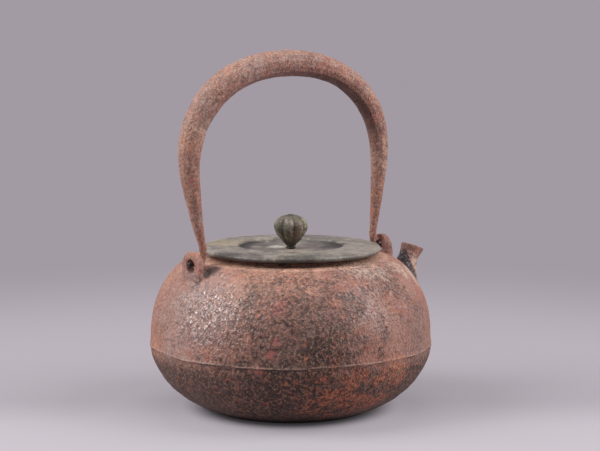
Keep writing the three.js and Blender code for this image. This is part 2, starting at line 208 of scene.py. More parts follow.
def new_group(name, kind, inputs, outputs):
    """An empty node group, its inputs and its outputs, each given as a kind of socket or as a number."""
    tree = bpy.data.node_groups.new(name, kind)
    for label, given in inputs.items():
        number = isinstance(given, float)
        socket_kind = "NodeSocketFloat" if number else given
        socket = tree.interface.new_socket(label, in_out="INPUT", socket_type=socket_kind)
        if number:
            socket.default_value = given
    for label, socket_kind in outputs.items():
        tree.interface.new_socket(label, in_out="OUTPUT", socket_type=socket_kind)
    return tree, tree.nodes.new("NodeGroupInput").outputs, tree.nodes.new("NodeGroupOutput").inputs


# Camera and light

def from_camera(side, ahead, height):
    """A point given as seen from the camera: to its right, away from it, and up."""
    x = side * math.cos(VIEW_AZIMUTH) + ahead * math.sin(VIEW_AZIMUTH)
    y = -side * math.sin(VIEW_AZIMUTH) + ahead * math.cos(VIEW_AZIMUTH)
    return Vector((x, y, height))


def make_camera():
    data = bpy.data.cameras.new("camera")
    data.lens = CAMERA_LENS
    data.sensor_width = SENSOR_WIDTH
    data.clip_start = CAMERA_CLIP
    camera = bpy.data.objects.new("camera", data)
    bpy.context.scene.collection.objects.link(camera)
    camera.location = from_camera(CAMERA_SIDE, -CAMERA_BACK, CAMERA_HEIGHT)
    ahead = from_camera(0, math.cos(CAMERA_PITCH), -math.sin(CAMERA_PITCH))
    camera.rotation_mode = "QUATERNION"
    camera.rotation_quaternion = ahead.to_track_quat("-Z", "Y")
    bpy.context.scene.camera = camera


def softbox(name, stand, size, power):
    """A square lamp that stands at a point and faces the top of the pot."""
    data = bpy.data.lights.new(name, "AREA")
    data.shape = "SQUARE"
    data.size = size
    data.energy = power
    lamp = bpy.data.objects.new(name, data)
    bpy.context.scene.collection.objects.link(lamp)
    lamp.location = stand
    lamp.visible_camera = False
    aim = Vector((0, 0, POT_TOP)) - stand
    lamp.rotation_mode = "QUATERNION"
    lamp.rotation_quaternion = aim.to_track_quat("-Z", "Y")


def beside(turn, rise):
    """Where a softbox stands, at a turn to the camera's right and a rise above the top of the pot."""
    level = SOFTBOX_REACH * math.cos(rise)
    height = POT_TOP + SOFTBOX_REACH * math.sin(rise)
    return from_camera(level * math.sin(turn), -level * math.cos(turn), height)


def make_light():
    softbox("softbox_left", beside(-LEFT_TURN, LEFT_RISE), SOFTBOX_SIZE, LEFT_POWER)
    softbox("softbox_right", beside(RIGHT_TURN, RIGHT_RISE), SOFTBOX_SIZE, RIGHT_POWER)
    softbox("softbox_top", from_camera(0, TOP_BACK, TOP_HEIGHT), TOP_SIZE, TOP_POWER)
    bpy.context.scene.view_settings.view_transform = "Standard"


def seen(tree):
    """A mask of the rays that show the backdrop: the camera's own, and reflections."""
    rays = tree.nodes.new("ShaderNodeLightPath").outputs
    return either(tree, rays["Is Camera Ray"], rays["Is Glossy Ray"])


def make_room():
    """The backdrop's plain colour for the camera and reflections, and a dim room for everything else."""
    world = bpy.data.worlds.new("studio")
    world.use_nodes = True
    tree = world.node_tree
    room = tree.nodes["Background"]
    room.inputs["Color"].default_value = ROOM_COLOUR
    room.inputs["Strength"].default_value = ROOM_STRENGTH
    paper = put(tree, "ShaderNodeBackground", {"Color": BACKDROP_COLOUR, "Strength": 1.0})
    both = put(tree, "ShaderNodeMixShader", {0: seen(tree), 1: room.outputs[0], 2: paper.outputs[0]})
    tree.links.new(both.outputs[0], tree.nodes["World Output"].inputs["Surface"])
    bpy.context.scene.world = world


def backdrop_paper():
    """Paper that keeps the kettle's shadow, lifted by painted light, and fades into the backdrop's plain
    colour.
    """
    material = bpy.data.materials.new("backdrop_paper")
    material.use_nodes = True
    tree = material.node_tree
    paper = tree.nodes["Principled BSDF"]
    paper.inputs["Base Color"].default_value = PAPER_COLOUR
    paper.inputs["Roughness"].default_value = PAPER_ROUGHNESS
    paper.inputs["Specular IOR Level"].default_value = PAPER_SPECULAR
    position = tree.nodes.new("ShaderNodeTexCoord").outputs["Object"]
    reach = put(tree, "ShaderNodeVectorMath", {0: position}, operation="LENGTH").outputs["Value"]
    # Painted light: the plain colour brightens in front of the kettle
    front_pool = spread(tree, along(tree, position, AWAY), *FRONT_EDGE)
    front_pool = overlap(tree, front_pool, spread(tree, reach, *POOL_EDGE))
    plain_colour = blend(tree, front_pool, BACKDROP_COLOUR, PAINTED_FRONT_LIGHT)
    plain = put(tree, "ShaderNodeEmission", {"Color": plain_colour, "Strength": 1.0})
    # Painted light: even near the kettle, half of the plain colour lifts the shadow
    fade = spread(tree, reach, *FADE_EDGE, *FADE_SHARES)
    contact = spread(tree, reach, *CONTACT_EDGE, *CONTACT_SHARES)
    away = overlap(tree, fade, seen(tree), contact)
    both = put(tree, "ShaderNodeMixShader", {0: away, 1: paper.outputs[0], 2: plain.outputs[0]})
    tree.links.new(both.outputs[0], tree.nodes["Material Output"].inputs["Surface"])
    return material


def make_floor():
    bpy.ops.mesh.primitive_circle_add(vertices=PAPER_CORNERS, radius=PAPER_RADIUS, fill_type="NGON")
    floor = bpy.context.object
    floor.name = "floor"
    floor.data.materials.append(backdrop_paper())


# Surface effects that several finishes share

# The middle of a noise's colour, and how uneven and how twisted the patches' noise is
NOISE_MIDDLE = (0.5, 0.5, 0.5)
MOTTLE_ROUGHNESS = 0.62
MOTTLE_TWIST = 0.25

# Where a stain starts and is full, as shares of its radius
STAIN_EDGE = (1.3, 0.55)

# The casting's grains: drawn out upwards, wandering, partly round on top and partly uneven
GRAIN_STRETCH = (1, 1, 0.78)
GRAIN_DETAIL = 2.0
GRAIN_WANDER = 2.4
GRAIN_SOFTNESS = 0.5
GRAIN_ROUND = (0.75, 0.1)
GRAIN_UNEVEN = (0.3, 0.7)
ROUND_SHARE = 0.62
UNEVEN_SHARE = 0.38

# The skin only moves in: its waves are measured down from one noise level, and it sinks a little throughout
WAVE_TOP = 0.85
WAVE_DETAIL = 3.0
LEAST_SINK = 0.002 * MM
STEP_WIDTH = 1.2 * MM
CALM_WIDTH = 2 * MM


def make_mottle():
    """A pattern of soft-edged patches: Size in metres, and the noise levels between which they start."""
    inputs = {
        "Position": "NodeSocketVector",
        "Size": 0.01,
        "Low": 0.45,
        "High": 0.6,
        "Detail": 6.0,
        "Seed": 0.0,
    }
    tree, given, out = new_group("mottle", "ShaderNodeTree", inputs, {"Mask": "NodeSocketFloat"})
    scale = maths(tree, "DIVIDE", 1.0, given["Size"])
    noise = put(
        tree,
        "ShaderNodeTexNoise",
        {"Vector": given["Position"], "W": given["Seed"], "Scale": scale, "Detail": given["Detail"],
         "Roughness": MOTTLE_ROUGHNESS, "Distortion": MOTTLE_TWIST},
        noise_dimensions="4D",
    )
    tree.links.new(spread(tree, noise.outputs["Fac"], given["Low"], given["High"]), out["Mask"])
    return tree


def make_stain():
    """One patch round a centre, its radius in metres, its edge made ragged by Wobble."""
    inputs = {
        "Position": "NodeSocketVector",
        "Centre": "NodeSocketVector",
        "Radius": 0.02,
        "Wobble": 0.0,
    }
    tree, given, out = new_group("stain", "ShaderNodeTree", inputs, {"Mask": "NodeSocketFloat"})
    away = vector_maths(tree, "DISTANCE", given["Position"], given["Centre"])
    share = maths(tree, "DIVIDE", away.outputs["Value"], given["Radius"])
    edge = maths(tree, "ADD", share, given["Wobble"])
    tree.links.new(spread(tree, edge, *STAIN_EDGE), out["Mask"])
    return tree


def grain_height(tree, position, size):
    """The wrinkled grains of a cast skin, from 0 in the pits to 1 on top, at a size in metres."""
    scale = maths(tree, "DIVIDE", 1.0, size)
    upright = vector_maths(tree, "MULTIPLY", position, GRAIN_STRETCH).outputs[0]
    wobble = put(tree, "ShaderNodeTexNoise", {"Vector": upright, "Scale": scale, "Detail": GRAIN_DETAIL})
    nudge = vector_maths(tree, "SUBTRACT", wobble.outputs["Color"], NOISE_MIDDLE)
    pushed = scaled(tree, nudge.outputs[0], maths(tree, "MULTIPLY", size, GRAIN_WANDER))
    moved = vector_maths(tree, "ADD", upright, pushed)
    cells = put(
        tree,
        "ShaderNodeTexVoronoi",
        {"Vector": moved.outputs[0], "Scale": scale, "Smoothness": GRAIN_SOFTNESS},
        feature="SMOOTH_F1",
    )
    round_tops = spread(tree, cells.outputs["Distance"], *GRAIN_ROUND)
    uneven = spread(tree, wobble.outputs["Fac"], *GRAIN_UNEVEN)
    return maths(tree, "ADD", weaker(tree, round_tops, ROUND_SHARE), weaker(tree, uneven, UNEVEN_SHARE))


def make_grain():
    """The casting's grains as a group: Size in metres."""
    inputs = {"Position": "NodeSocketVector", "Size": 0.0015}
    tree, given, out = new_group("casting_grain", "ShaderNodeTree", inputs, {"Height": "NodeSocketFloat"})
    tree.links.new(grain_height(tree, given["Position"], given["Size"]), out["Height"])
    return tree


def skin_depth(tree, position, given):
    """How far the skin moves along its normal: below zero, so inwards."""
    level = axes_of(tree, position)["Z"]
    pits = maths(tree, "SUBTRACT", grain_height(tree, position, given["Grain Size"]), 1.0)
    grains = maths(tree, "MULTIPLY", pits, given["Grain Depth"])
    scale = maths(tree, "DIVIDE", 1.0, given["Wave Size"])
    noise = put(tree, "ShaderNodeTexNoise", {"Vector": position, "Scale": scale, "Detail": WAVE_DETAIL})
    dips = maths(tree, "SUBTRACT", noise.outputs["Fac"], WAVE_TOP)
    waves = maths(tree, "MULTIPLY", dips, given["Wave Depth"])
    below = maths(tree, "SUBTRACT", given["Step Level"], STEP_WIDTH)
    under = spread(tree, level, given["Step Level"], below)
    step = maths(tree, "MULTIPLY", under, maths(tree, "MULTIPLY", given["Step Depth"], -1.0))
    amount = maths(tree, "ADD", maths(tree, "ADD", grains, waves), step)
    amount = maths(tree, "SUBTRACT", amount, given["Sink"])
    calm = spread(tree, level, given["Calm Below"], maths(tree, "ADD", given["Calm Below"], CALM_WIDTH))
    return maths(tree, "SUBTRACT", maths(tree, "MULTIPLY", amount, calm), LEAST_SINK)


def make_skin():
    """Moves a mesh's surface in: grains, longer waves under them, and a step below one level."""
    inputs = {
        "Geometry": "NodeSocketGeometry",
        "Grain Size": 0.003,
        "Grain Depth": 0.0002,
        "Wave Size": 0.015,
        "Wave Depth": 0.0003,
        "Sink": 0.0,
        "Step Level": -1.0,
        "Step Depth": 0.0,
        "Calm Below": -1.0,
    }
    outputs = {"Geometry": "NodeSocketGeometry"}
    tree, given, out = new_group("rough_skin", "GeometryNodeTree", inputs, outputs)
    position = tree.nodes.new("GeometryNodeInputPosition").outputs[0]
    normal = tree.nodes.new("GeometryNodeInputNormal").outputs[0]
    offset = scaled(tree, normal, skin_depth(tree, position, given))
    moved = put(tree, "GeometryNodeSetPosition", {"Geometry": given["Geometry"], "Offset": offset})
    tree.links.new(moved.outputs[0], out["Geometry"])
    return tree


MOTTLE = make_mottle()
STAIN = make_stain()
GRAIN = make_grain()
SKIN = make_skin()


# Finishes

# How much fine detail there is in large patches and in small specks
CLOUD_DETAIL = 6.0
SPECK_DETAIL = 3.0

# How fine and how uneven the noise is that makes edges ragged
EDGE_DETAIL = 6.0
EDGE_ROUGHNESS = 0.65


def new_material(name):
    material = bpy.data.materials.new(name)
    material.use_nodes = True
    tree = material.node_tree
    position = tree.nodes.new("ShaderNodeTexCoord").outputs["Object"]
    return material, tree, tree.nodes["Principled BSDF"], position


def finished(tree, shade, colour, rough, normal):
    """Links a finish's colour, roughness and normal to its shader."""
    tree.links.new(colour, shade.inputs["Base Color"])
    tree.links.new(rough, shade.inputs["Roughness"])
    tree.links.new(normal, shade.inputs["Normal"])


def shared(tree, group, inputs):
    """One use of a shared effect, with its inputs as values or links."""
    made = put(tree, "ShaderNodeGroup", node_tree=group)
    for name, value in inputs.items():
        feed(tree, made.inputs[name], value)
    return made.outputs[0]


def patches(tree, position, size, low, high, seed, detail=CLOUD_DETAIL):
    """A mask of soft patches, their size in millimetres."""
    inputs = {"Position": position, "Size": size * MM, "Low": low, "High": high, "Seed": seed}
    return shared(tree, MOTTLE, dict(inputs, Detail=detail))


def grain(tree, position, size):
    """The height of the casting's grains, their size in millimetres."""
    return shared(tree, GRAIN, {"Position": position, "Size": size * MM})


def ragged(tree, position, size, reach):
    """A value round zero that makes edges uneven, at a size in millimetres."""
    inputs = {"Vector": position, "Scale": 1 / (size * MM)}
    inputs.update({"Detail": EDGE_DETAIL, "Roughness": EDGE_ROUGHNESS})
    noise = put(tree, "ShaderNodeTexNoise", inputs)
    return weaker(tree, maths(tree, "SUBTRACT", noise.outputs["Fac"], 0.5), reach)


def fine_noise(tree, position, size, detail):
    """The finest unevenness of a surface, its size in millimetres."""
    inputs = {"Vector": position, "Scale": 1 / (size * MM), "Detail": detail}
    return put(tree, "ShaderNodeTexNoise", inputs).outputs["Fac"]


def stain(tree, position, wobble, place, radius):
    """A mask of one ragged patch, its place and radius in millimetres."""
    centre = tuple(value * MM for value in place)
    inputs = {"Position": position, "Centre": centre, "Radius": radius * MM, "Wobble": wobble}
    return shared(tree, STAIN, inputs)


def stains(tree, position, wobble, places):
    """A mask of several ragged patches, each at its strength."""
    masks = []
    for place, radius, strength in places:
        masks.append(weaker(tree, stain(tree, position, wobble, place, radius), strength))
    return either(tree, *masks)


def stained(tree, position, wobble, colour, places):
    """A colour with patches of other colours, each at its place."""
    for place, radius, top, strength in places:
        colour = lay(tree, colour, top, stain(tree, position, wobble, place, radius), strength)
    return colour


def specked(tree, position, colour, specks, detail=SPECK_DETAIL, share=1.0):
    """A colour with several kinds of specks or clouds, weaker where the share is lower."""
    for size, low, high, seed, top, strength in specks:
        mask = patches(tree, position, size, low, high, seed, detail)
        colour = lay(tree, colour, top, weaker(tree, mask, share), strength)
    return colour


def patchy(tree, position, wobble, pattern, shades, clouds, places):
    """A colour in soft patches of two shades, with clouds and ragged patches of others."""
    colour = blend(tree, patches(tree, position, *pattern), *shades)
    colour = specked(tree, position, colour, clouds, CLOUD_DETAIL)
    return stained(tree, position, wobble, colour, places)


def from_axis(tree, position):
    """How far a point is from the kettle's upright axis."""
    flat = vector_maths(tree, "MULTIPLY", position, (1, 1, 0)).outputs[0]
    return put(tree, "ShaderNodeVectorMath", {0: flat}, operation="LENGTH").outputs["Value"]


def bump(tree, height, distance, strength, under=None):
    """A normal tilted by a height, its distance in millimetres, over another bump if one is given."""
    inputs = {"Height": height, "Distance": distance * MM, "Strength": strength}
    if under is not None:
        inputs["Normal"] = under
    return put(tree, "ShaderNodeBump", inputs).outputs["Normal"]


# Colours of the rusted iron, and of the painted light and shade on it

RUST_BROWN = (0.34, 0.156, 0.105, 1)
RUST_RED = (0.37, 0.127, 0.084, 1)
RUST_ORANGE = (0.46, 0.215, 0.12, 1)
RUST_TAN = (0.52, 0.335, 0.24, 1)
PAINTED_HIGHLIGHT = (0.60, 0.45, 0.36, 1)
RUST_DARK = (0.12, 0.052, 0.041, 1)
PAINTED_RIM_LIGHT = (0.80, 0.47, 0.33, 1)
IRON_GREY = (0.28, 0.19, 0.167, 1)
IRON_LILAC_AND_PAINTED_SHEEN = (0.36, 0.252, 0.226, 1)
IRON_DARK_AND_PAINTED_SHADE = (0.056, 0.025, 0.019, 1)
PAINTED_GLINT = (0.80, 0.72, 0.70, 1)
DARK_RED = (0.14, 0.045, 0.035, 1)
EMBER_RED = (0.54, 0.15, 0.07, 1)
FLAME_RED = (0.50, 0.14, 0.12, 1)
WORN_BROWN = (0.33, 0.172, 0.112, 1)
SOOT_AND_PAINTED_SHADE = (0.014, 0.008, 0.0065, 1)
SPOUT_LIP = (0.17, 0.075, 0.06, 1)
SPOUT_SPECK = (0.24, 0.23, 0.26, 1)
HANDLE_OLIVE = (0.33, 0.235, 0.165, 1)

# Patterns on the casting: size in millimetres, the noise levels between which they start, seed, and detail
# where it isn't the clouds' own
POT_PATTERN = (24, 0.38, 0.62, 1.0)
SEAM_BREAKS = (11, 0.40, 0.62, 5.0, 3.0)
HIGHLIGHT_BREAKS = (2.6, 0.44, 0.55, 14.0, 3.0)
FLECKS = (4, 0.56, 0.64, 18.0, 4.0)
EMBER_BREAKS = (7, 0.42, 0.52, 19.0)
WORN_SPECKS = (1.7, 0.51, 0.59, 17.0, 2.0)
CHARRED_SPECKS = (1.9, 0.50, 0.58, 16.0, 2.0)
TAWNY_BREAKS = (2.4, 0.48, 0.56, 13.0, 3.0)
SPOUT_SPECKS = (1.6, 0.56, 0.64, 93.0, 2.0)
SPOUT_BLOTCHES = (3.2, 0.48, 0.56, 15.0, 3.0)
POT_DULL = (9, 0.4, 0.6, 20.0)

# Clouds and specks on the casting: size, noise levels and seed as in the patterns, colour, strength
POT_CLOUDS = (
    (13.0, 0.48, 0.66, 4.0, IRON_GREY, 0.8),
    (9.0, 0.50, 0.68, 7.0, RUST_ORANGE, 0.45),
)
POT_SPECKS = (
    (12.0, 0.52, 0.60, 86.0, RUST_DARK, 0.35),
    (6.0, 0.50, 0.62, 90.0, RUST_DARK, 0.40),
    (7.0, 0.52, 0.64, 89.0, RUST_RED, 0.45),
    (1.9, 0.46, 0.56, 91.0, IRON_LILAC_AND_PAINTED_SHEEN, 0.45),
    (1.6, 0.53, 0.61, 92.0, RUST_TAN, 0.55),
    (2.2, 0.53, 0.62, 94.0, RUST_ORANGE, 0.55),
    (1.7, 0.51, 0.59, 95.0, RUST_DARK, 0.70),
)

# Patches on the pot: place and radius in millimetres, colour, strength
POT_PATCHES = (
    # Grey and orange on the shoulder behind the rear lug, and orange low at the rear
    ((-72, 20, 73), 21, IRON_GREY, 0.35),
    ((-66, 30, 80), 14, RUST_ORANGE, 0.55),
    ((-80, 19, 41), 14, RUST_ORANGE, 0.65),
    # Bare iron beside it
    ((-82, -6, 55), 20, IRON_LILAC_AND_PAINTED_SHEEN, 0.7),
    ((-72, -24, 70), 26, IRON_LILAC_AND_PAINTED_SHEEN, 0.6),
    # Orange and red bloom under the rim
    ((-52, -40, 85), 17, RUST_ORANGE, 0.7),
    ((-34, -56, 84), 18, RUST_ORANGE, 0.6),
    ((-22, -68, 74), 17, RUST_RED, 0.6),
    # The shoulder towards the spout: a dark red smear, then painted highlights and dark places in turn
    ((-12, -52, 89), 11, DARK_RED, 0.7),
    ((5, -60, 87), 11, PAINTED_HIGHLIGHT, 0.5),
    ((22, -66, 78), 12, RUST_DARK, 0.45),
    ((14, -59, 88), 9, PAINTED_HIGHLIGHT, 0.55),
    ((18, -65, 83), 9, RUST_DARK, 0.6),
    ((40, -52, 84), 9, RUST_TAN, 0.5),
    ((53, -46, 79), 7, PAINTED_HIGHLIGHT, 0.4),
    # Darker rust at the far left and under the rim, redder between, and tan on the flank
    ((-76, 17, 68), 24, RUST_DARK, 0.17),
    ((-50, -42, 84), 14, RUST_DARK, 0.35),
    ((-12, -68, 80), 12, RUST_DARK, 0.25),
    ((-40, -55, 80), 13, RUST_RED, 0.4),
    ((6, -80, 60), 14, RUST_TAN, 0.35),
    # Smooth red-brown flank, with a painted grey sheen above it
    ((14, -80, 56), 24, RUST_RED, 0.35),
    ((34, -74, 48), 20, IRON_LILAC_AND_PAINTED_SHEEN, 0.35),
    ((-2, -77, 68), 14, IRON_LILAC_AND_PAINTED_SHEEN, 0.5),
    ((40, -72, 56), 14, RUST_DARK, 0.35),
    # The far side of the flank towards the spout
    ((40, -71, 48), 22, RUST_DARK, 0.3),
    # The front lug, and the rear lug's lower face and top
    ((67, 0, 92), 10, DARK_RED, 0.6),
    ((-69, -3, 80), 6, IRON_GREY, 0.8),
    ((-70, -7, 81), 3.5, RUST_DARK, 0.6),
    ((-67, 0, 96), 5, RUST_ORANGE, 0.6),
)

# Masks on the pot, as places and radii in millimetres, and strengths: painted highlights on the shoulder
# towards the spout, painted shade in front and soot near the base, and rust that shows through the soot,
# red and then orange
HIGHLIGHT_PLACES = (
    ((14, -59, 88), 10, 1.0),
    ((40, -52, 84), 9, 1.0),
    ((9, -47, 90), 7, 1.0),
    ((54, -45, 78), 8, 1.0),
)
SOOT_AND_SHADE_PLACES = (
    ((-43, -68, 45), 38, 0.5),
    ((-44, -66, 14), 46, 0.95),
)
EMBER_PLACES = (
    ((-18, -72, 18), 20, 1.0),
    ((-1, -73, 17), 18, 1.0),
    ((14, -79, 28), 12, 0.8),
)
TAWNY_PLACES = (
    ((15, -81, 33), 10, 1.0),
)

# More of them: the rear shoulder's gloss, the painted glints in it, the smoother skin beside it, a soft
# sheen in front, and the rough skin on the shoulder and in front
GLOSSY_PLACES = (
    ((-73, -27, 65), 27, 1.0),
)
SPARKLES = (
    ((-75.8, -23.0, 63.5), 13, 1.0),
    ((-68.9, -33.5, 69.8), 11, 1.0),
)
SMOOTHER_PLACES = (
    ((-61, -48, 67), 25, 1.0),
)
SHEEN_PLACES = (
    ((-2, -77, 68), 17, 0.7),
)
ROUGH_PLACES = (
    ((14, -62, 84), 26, 1.0),
    ((-50, -60, 52), 52, 1.0),
)

# Bright red spots in front, over the soot and the painted shade
FLAME_SPOTS = (
    ((-57, -60, 46), 3.2, FLAME_RED, 0.6),
    ((-54, -61, 54), 2.6, FLAME_RED, 0.45),
    ((-61, -55, 37), 3, FLAME_RED, 0.4),
    ((-50, -57, 71), 5, FLAME_RED, 0.25),
)

# Painted shade on the pot: inside the lugs' holes, and beside the lugs
POT_SHADES = (
    ((-67, 0, 88.6), 4.2, SOOT_AND_PAINTED_SHADE, 0.9),
    ((67, 0, 88.6), 4.2, SOOT_AND_PAINTED_SHADE, 0.9),
    ((-60.3, -8.5, 87.5), 5.5, SOOT_AND_PAINTED_SHADE, 0.85),
    ((64.5, -7, 91), 4, DARK_RED, 0.6),
    ((-64, -8.5, 84), 2.6, SOOT_AND_PAINTED_SHADE, 0.7),
)

# Levels and reaches in millimetres, from where a mask is none to where it is full
SOOT_LEVELS = (41, 30)
LOW_SOOT = 0.76
# The levels of the painted shade at the foot
FOOT_LEVELS = (9, 1)
# Where the painted light under the lid's rim reaches, and its levels
MOUTH_REACH = (58.5, 55.5)
MOUTH_LEVELS = (84, 87)

# The parting line's lip and the shade under it, in millimetres above the seam
LIP_RISE = (-0.2, 0.1)
LIP_FALL = (0.9, 0.4)
SHADE_RISE = (-1.2, -0.6)
SHADE_FALL = (0.0, -0.3)

# Heights of the grains between which painted shade in the pits, painted glints and worn tops start
PITS = (0.46, 0.14)
GLINTS = (0.70, 0.84)
TOPS = (0.62, 0.84)

# The casting's ragged edges and the seam's waver: size in millimetres, reach. The edges of the painted
# shade are less ragged.
POT_EDGES = (10, 3.2)
SEAM_WAVER = (45, 5 * MM)
POT_SHADE_WOBBLE = 0.3

# Its grains' size in millimetres, also where it is smoother, and their strength where it isn't rough
POT_GRAIN = 1.4
SMOOTHER_GRAIN = 1.9
CALM_GRAIN = 0.5

# How many of its specks and pits stay where it isn't rough, and where it is glossy. Where it isn't rough,
# it is also a little darker.
CALM_SPECKS = 0.6
GLOSSY_SPECKS = 0.72
CALM_DARKER = 0.16

# Its roughness, and what the sheen, the glints, and the soot and painted shade make of that
POT_ROUGHNESS = (0.5, 0.68)
SHEEN_SHARE = 0.45
SPARKLE_SHARE = 0.72
SOOT_ROUGHNESS = 0.78

# Its relief: distance in millimetres and strength, and the finest noise's size in millimetres and detail
GRAIN_RELIEF = (0.7, 1.0)
SEAM_RELIEF = (0.5, 0.7)
FINE_RELIEF = (0.3, 0.55)
FINE_NOISE = (0.7, 3.0)
SMOOTHER_FINE = 0.35


def seam_line(tree, level):
    """The two halves' parting line round the belly: a raised lip, and the shade under it."""
    above = maths(tree, "SUBTRACT", level, SEAM_HEIGHT)
    lip = overlap(tree, between(tree, above, *LIP_RISE), between(tree, above, *LIP_FALL))
    shade = overlap(tree, between(tree, above, *SHADE_RISE), between(tree, above, *SHADE_FALL))
    return lip, shade


# The spout in millimetres: how far it lies to the side and ahead in the photograph's view, its levels, its
# half width and how ragged its edges are. The slant runs along its shaded side, and the stripes of painted
# shade and painted highlight are measured across it.
SPOUT_SIDE = (61.5, 63.5)
SPOUT_AHEAD = (22, 28)
SPOUT_LEVELS = (66, 72)
SPOUT_ACROSS = (17, 11)
SPOUT_WOBBLE = 2.5
SPOUT_SLANT = 0.36
SPOUT_SHADE = (102.6, 100.6)
SPOUT_NECK = (86.5, 85.2)
SPOUT_HIGHLIGHT_RISE = (101.5, 103)
SPOUT_HIGHLIGHT_FALL = (106.5, 104)
SPOUT_LIP_LEVELS = (85, 86.3)
SPOUT_LIP_SIDE = (75, 72)
SPOUT_TIP_SIDE = (78.6, 80)


def spout_mask(tree, position, side, level):
    """Where the spout is."""
    across = maths(tree, "ABSOLUTE", axes_of(tree, position)["Y"])
    return overlap(
        tree,
        between(tree, side, *SPOUT_SIDE),
        between(tree, along(tree, position, AWAY), *SPOUT_AHEAD),
        between(tree, level, *SPOUT_LEVELS),
        between(tree, across, *SPOUT_ACROSS),
    )


def spout_colours(tree, position, wobble, level, colour):
    """The spout: painted shade on its side towards the pot, a painted highlight beside that, red-brown at
    its lip.
    """
    side = maths(tree, "ADD", along(tree, position, SIDEWAYS), weaker(tree, wobble, SPOUT_WOBBLE * MM))
    spout = spout_mask(tree, position, side, level)
    slanted = maths(tree, "ADD", side, weaker(tree, level, SPOUT_SLANT))
    painted_shade = overlap(tree, between(tree, slanted, *SPOUT_SHADE), between(tree, level, *SPOUT_NECK))
    highlight_rise = between(tree, slanted, *SPOUT_HIGHLIGHT_RISE)
    highlight_stripe = overlap(tree, highlight_rise, between(tree, slanted, *SPOUT_HIGHLIGHT_FALL))
    lip = overlap(tree, between(tree, level, *SPOUT_LIP_LEVELS), between(tree, side, *SPOUT_LIP_SIDE))
    edges = either(tree, lip, weaker(tree, between(tree, side, *SPOUT_TIP_SIDE), 0.8))
    colour = lay(tree, colour, RUST_BROWN, spout, 0.6)
    colour = lay(tree, colour, PAINTED_HIGHLIGHT, overlap(tree, spout, highlight_stripe), 0.6)
    blotches = patches(tree, position, *SPOUT_BLOTCHES)
    colour = lay(tree, colour, SPOUT_LIP, overlap(tree, spout, blotches), 0.6)
    colour = lay(tree, colour, SPOUT_LIP, overlap(tree, spout, edges), 0.85)
    shaded = lay(tree, SOOT_AND_PAINTED_SHADE, SPOUT_SPECK, patches(tree, position, *SPOUT_SPECKS), 0.75)
    return lay(tree, colour, shaded, overlap(tree, spout, painted_shade), 0.95)


def pot_rust(tree, position, wobble, level, wild, share):
    """Rust in soft patches, with painted light under the lid, specks of every shade, and painted highlights
    over them.
    """
    shades = (RUST_BROWN, RUST_RED)
    colour = patchy(tree, position, wobble, POT_PATTERN, shades, POT_CLOUDS, POT_PATCHES)
    # Painted light under the lid's rim, against the shade there
    near_lid = between(tree, from_axis(tree, position), *MOUTH_REACH)
    colour = lay(tree, colour, PAINTED_RIM_LIGHT, overlap(tree, near_lid, between(tree, level, *MOUTH_LEVELS)), 0.7)
    colour = lay(tree, colour, RUST_DARK, ranged(tree, wild, CALM_DARKER, 0.0))
    colour = specked(tree, position, colour, POT_SPECKS, share=share)
    # Painted highlights on the shoulder towards the spout
    shoulder_highlights = stains(tree, position, wobble, HIGHLIGHT_PLACES)
    shoulder_highlights = overlap(tree, shoulder_highlights, patches(tree, position, *HIGHLIGHT_BREAKS))
    colour = lay(tree, colour, PAINTED_HIGHLIGHT, shoulder_highlights, 0.52)
    return spout_colours(tree, position, wobble, level, colour)


def pot_soot(tree, position, wobble, soot_and_shade, colour):
    """Soot and painted shade over the rust, with red, brown and orange showing through, and painted shade
    round the lugs.
    """
    # Soot low down, and painted shade in front
    colour = lay(tree, colour, IRON_DARK_AND_PAINTED_SHADE, soot_and_shade)
    colour = lay(tree, colour, EMBER_RED, overlap(tree, patches(tree, position, *FLECKS), soot_and_shade), 0.7)
    embers = stains(tree, position, wobble, EMBER_PLACES)
    embers = overlap(tree, embers, patches(tree, position, *EMBER_BREAKS))
    colour = lay(tree, colour, EMBER_RED, embers, 0.85)
    worn = patches(tree, position, *WORN_SPECKS)
    colour = lay(tree, colour, WORN_BROWN, overlap(tree, worn, soot_and_shade), 0.62)
    charred = patches(tree, position, *CHARRED_SPECKS)
    colour = lay(tree, colour, SOOT_AND_PAINTED_SHADE, overlap(tree, charred, soot_and_shade), 0.8)
    tawny = stains(tree, position, wobble, TAWNY_PLACES)
    tawny = overlap(tree, tawny, patches(tree, position, *TAWNY_BREAKS))
    colour = lay(tree, colour, RUST_ORANGE, tawny, 0.5)
    colour = stained(tree, position, wobble, colour, FLAME_SPOTS)
    return stained(tree, position, weaker(tree, wobble, POT_SHADE_WOBBLE), colour, POT_SHADES)


def pot_grains(tree, grains, strength, share, soot_and_shade, sparkle, colour):
    """Painted shade in the pits, painted glints on the rear shoulder, and worn tops over the soot and
    painted shade.
    """
    pits = overlap(tree, spread(tree, grains, *PITS), strength, share)
    colour = lay(tree, colour, SOOT_AND_PAINTED_SHADE, pits, 0.6)
    glints = overlap(tree, spread(tree, grains, *GLINTS), sparkle)
    colour = lay(tree, colour, PAINTED_GLINT, glints, 0.75)
    tops = overlap(tree, spread(tree, grains, *TOPS), strength, soot_and_shade)
    return lay(tree, colour, WORN_BROWN, tops, 0.75)


